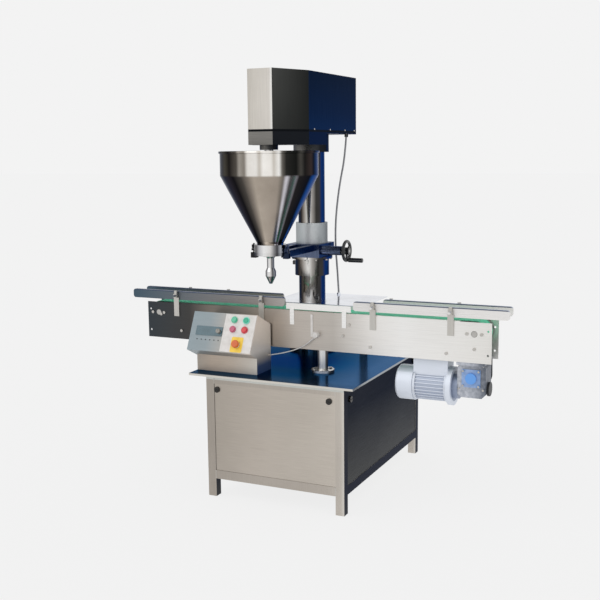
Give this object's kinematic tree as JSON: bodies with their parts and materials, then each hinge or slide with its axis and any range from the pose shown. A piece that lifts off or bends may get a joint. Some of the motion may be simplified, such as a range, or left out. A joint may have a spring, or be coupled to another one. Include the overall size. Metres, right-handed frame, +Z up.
{
  "type": "auger powder filler",
  "caption": "Column-mounted auger filling head with open cone hopper over a guided bottle conveyor, on a stainless steel cabinet with a sloped switch console.",
  "frame": {"origin": "on the floor, midway along the conveyor and under the middle of the cabinet's depth", "axes": "+X along the conveyor to its drive end, +Y to the back, +Z up"},
  "size_m": [1.812, 1.092, 1.901],
  "materials": {
    "stainless": "brushed stainless sheet",
    "mirror_steel": "polished stainless",
    "chrome": "hard chrome",
    "cast_aluminium": "satin",
    "motor_paint": "silver grey paint",
    "head_paint": "dark sheet metal",
    "belt_green": "matt green belt",
    "black_plastic": "matt black",
    "black_steel": "blackened steel",
    "white_plastic": "white",
    "green_plastic": "green",
    "red_plastic": "red",
    "orange_red": "red mushroom",
    "display_dark": "dark glass",
    "cable_grey": "grey sheath",
    "cable_pale": "pale sheath"
  },
  "bodies": {
    "machine": {"base_frame": "stainless", "table_top": "stainless", "front_panel": "stainless", "back_panel": "stainless", "side_panels": "stainless", "near_side_plate": "stainless", "far_side_plate": "stainless", "slider_bed": "stainless", "conveyor_belt": "belt_green", "roller_bearings": "black_steel", "rail_brackets": "stainless", "station_guide": "stainless", "sensor": "white_plastic", "drive_motor": "motor_paint", "drive_gearbox": "cast_aluminium", "drive_chain": "black_steel", "support_posts": "stainless", "station_deck": "mirror_steel", "column_foot": "chrome", "frame_bolts": "stainless", "lower_column": "chrome", "console_box": "stainless", "console_plate": "white_plastic", "panel_lamps": "green_plastic", "display_unit": "display_dark", "sensor_cable": "cable_pale", "head_cable": "cable_grey"},
    "carriage": {"lift_sleeve": "chrome", "lift_bracket": "cast_aluminium", "lift_collar": "cast_aluminium", "upper_column": "chrome", "hopper": "mirror_steel", "hopper_clamp": "mirror_steel", "spout": "mirror_steel", "head_base": "head_paint", "head_cover": "head_paint", "agitator_motor": "motor_paint", "auger_motor": "black_plastic"},
    "clamp_screw": {"clamp_screw": "black_plastic"},
    "wheel": {"handwheel": "black_plastic", "pinion_shaft": "chrome"},
    "grip": {"crank_grip": "black_plastic"},
    "swing_left": {"swing_bolt_left": "mirror_steel"},
    "swing_right": {"swing_bolt_right": "mirror_steel"},
    "auger": {"auger": "mirror_steel"},
    "agitator": {"agitator": "mirror_steel"},
    "drive_roller": {"drive_roller": "chrome"},
    "tail_roller": {"tail_roller": "chrome"},
    "sprocket": {"drive_sprocket": "black_steel"},
    "front_rail_left": {"front_rail_left": "stainless"},
    "front_rail_right": {"front_rail_right": "stainless"},
    "rear_rail": {"rear_rail": "stainless"},
    "lock_front_left": {"lock_front_left": "black_plastic"},
    "lock_front_right": {"lock_front_right": "black_plastic"},
    "lock_side_front": {"lock_side_front": "black_plastic"},
    "lock_side_back": {"lock_side_back": "black_plastic"},
    "start_button": {"start_button": "green_plastic"},
    "stop_button": {"stop_button": "red_plastic"},
    "emergency_stop": {"emergency_stop": "orange_red"},
    "speed_knob": {"speed_knob": "black_plastic"}
  },
  "joints": [
    {"name": "lift", "type": "slide", "parent": "machine", "child": "carriage", "axis": [0, 0, 1], "range_m": [-0.04, 0.12], "deforming": ["head_cable"]},
    {"name": "handwheel_turn", "type": "hinge", "parent": "carriage", "child": "wheel", "pos_m": [0.018, 0.104, 1.074], "axis": [-1, 0, 0], "range_deg": [-105, 310]},
    {"name": "grip_spin", "type": "hinge", "parent": "wheel", "child": "grip", "pos_m": [0.06, 0.104, 1.031], "axis": [1, 0, 0], "continuous": true},
    {"name": "clamp_screw_turn", "type": "hinge", "parent": "carriage", "child": "clamp_screw", "pos_m": [-0.29, 0.177, 1], "axis": [1, 0, 0], "range_deg": [0, 180]},
    {"name": "swing_left", "type": "hinge", "parent": "carriage", "child": "swing_left", "pos_m": [-0.2805, -0.274, 1.078], "axis": [0, -1, 0], "range_deg": [0, 90]},
    {"name": "swing_right", "type": "hinge", "parent": "carriage", "child": "swing_right", "pos_m": [-0.1125, -0.274, 1.078], "axis": [0, 1, 0], "range_deg": [0, 90]},
    {"name": "auger_spin", "type": "hinge", "parent": "carriage", "child": "auger", "pos_m": [-0.1965, -0.274, 1.2], "axis": [0, 0, 1], "continuous": true},
    {"name": "agitator_spin", "type": "hinge", "parent": "carriage", "child": "agitator", "pos_m": [-0.1965, -0.274, 1.5], "axis": [0, 0, 1], "continuous": true},
    {"name": "drive_roller_spin", "type": "hinge", "parent": "machine", "child": "drive_roller", "pos_m": [0.757, -0.26425, 0.7977], "axis": [0, 1, 0], "continuous": true},
    {"name": "tail_roller_spin", "type": "hinge", "parent": "machine", "child": "tail_roller", "pos_m": [-0.77, -0.26425, 0.7977], "axis": [0, 1, 0], "continuous": true},
    {"name": "sprocket_spin", "type": "hinge", "parent": "machine", "child": "sprocket", "pos_m": [0.742, -0.255, 0.607], "axis": [0, 1, 0], "continuous": true},
    {"name": "front_rail_left_adjust", "type": "slide", "parent": "machine", "child": "front_rail_left", "axis": [0, 1, 0], "range_m": [0, 0.012]},
    {"name": "front_rail_right_adjust", "type": "slide", "parent": "machine", "child": "front_rail_right", "axis": [0, 1, 0], "range_m": [0, 0.012]},
    {"name": "rear_rail_adjust", "type": "slide", "parent": "machine", "child": "rear_rail", "axis": [0, -1, 0], "range_m": [0, 0.012]},
    {"name": "lock_front_left_turn", "type": "hinge", "parent": "machine", "child": "lock_front_left", "pos_m": [-0.3618, -0.4965, 0.4977], "axis": [0, 1, 0], "range_deg": [0, 90]},
    {"name": "lock_front_right_turn", "type": "hinge", "parent": "machine", "child": "lock_front_right", "pos_m": [0.182, -0.4965, 0.4977], "axis": [0, -1, 0], "range_deg": [0, 90]},
    {"name": "lock_side_front_turn", "type": "hinge", "parent": "machine", "child": "lock_side_front", "pos_m": [0.251, -0.4207, 0.4977], "axis": [-1, 0, 0], "range_deg": [0, 90]},
    {"name": "lock_side_back_turn", "type": "hinge", "parent": "machine", "child": "lock_side_back", "pos_m": [0.251, 0.4207, 0.4977], "axis": [1, 0, 0], "range_deg": [0, 90]},
    {"name": "start_press", "type": "slide", "parent": "machine", "child": "start_button", "axis": [0, 0.9018, -0.4321], "range_m": [0, 0.003], "stiffness_N_per_m": 300, "springref_m": -0.002},
    {"name": "stop_press", "type": "slide", "parent": "machine", "child": "stop_button", "axis": [0, 0.9018, -0.4321], "range_m": [0, 0.003], "stiffness_N_per_m": 300, "springref_m": -0.002},
    {"name": "emergency_press", "type": "slide", "parent": "machine", "child": "emergency_stop", "axis": [0, 0.9018, -0.4321], "range_m": [0, 0.005]},
    {"name": "speed_turn", "type": "hinge", "parent": "machine", "child": "speed_knob", "pos_m": [-0.345, -0.49225, 0.76097], "axis": [0, -0.9018, 0.4321], "range_deg": [-270, 0]}
  ],
  "couplings": [
    {"joint": "handwheel_turn", "follows": "lift", "rad_per_m": 44.444},
    {"joint": "tail_roller_spin", "follows": "drive_roller_spin", "ratio": 1},
    {"joint": "sprocket_spin", "follows": "drive_roller_spin", "ratio": 0.67857}
  ]
}
